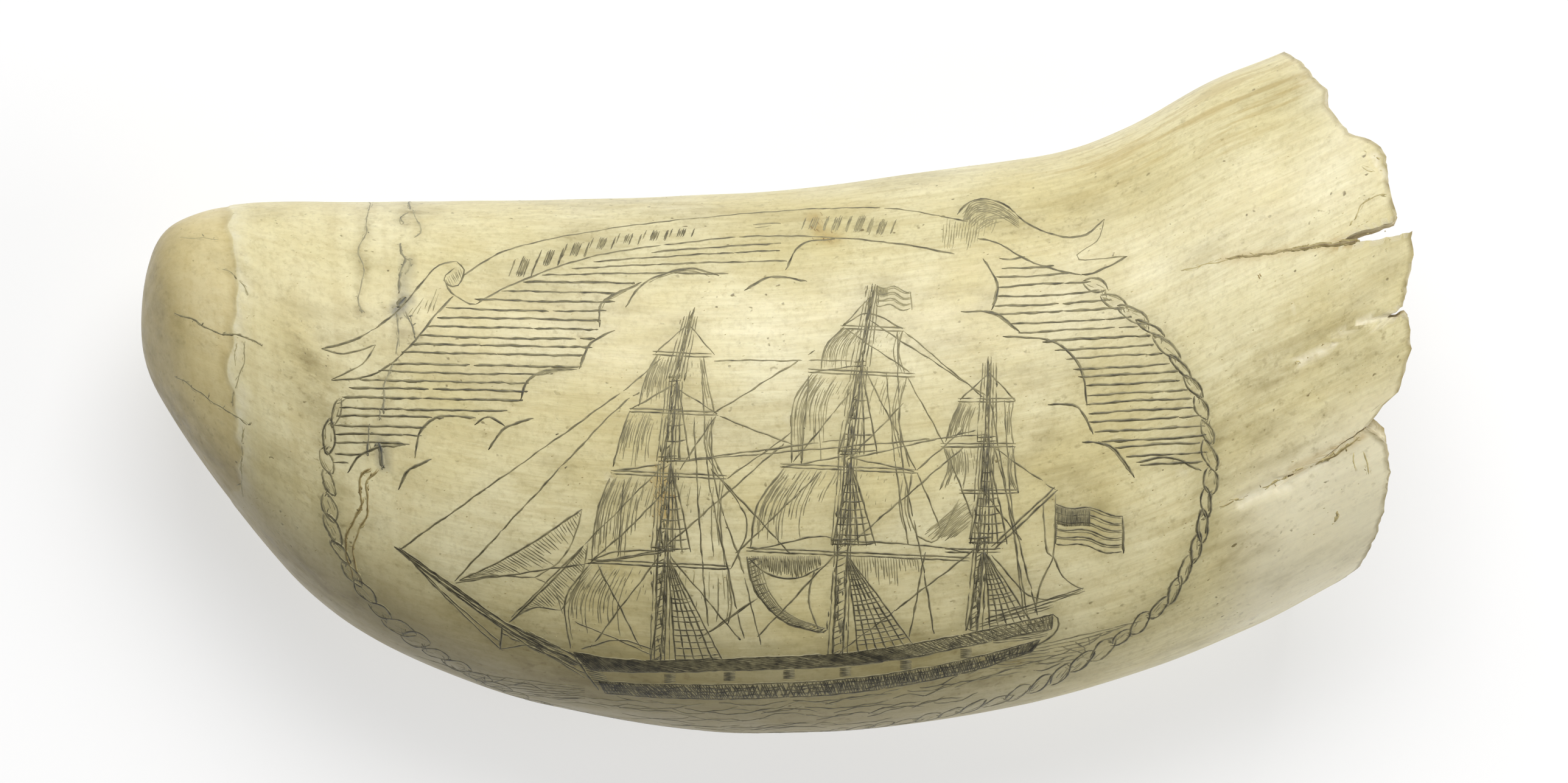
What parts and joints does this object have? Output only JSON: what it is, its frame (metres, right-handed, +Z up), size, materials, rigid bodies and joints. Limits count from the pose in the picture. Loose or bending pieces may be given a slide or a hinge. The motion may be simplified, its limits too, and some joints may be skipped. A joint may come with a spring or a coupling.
{
  "type": "scrimshaw whale tooth",
  "caption": "Curved whale tooth lying on its side, with a worn solid tip and a split, hollow root, engraved on its upper face with a ship in a rope border.",
  "frame": {"origin": "under the middle of the bounding box, on the plane that the tooth lies on", "axes": "+X along the tooth from the solid tip to the open root, +Y towards the concave edge, +Z up through the engraved face"},
  "size_m": [0.1648, 0.0888, 0.0484],
  "materials": {
    "tooth": "polished old tooth ivory, satin gloss, with fine grain, stain and black-inked engraving"
  },
  "bodies": {
    "root": {"tooth": "tooth"}
  },
  "joints": []
}
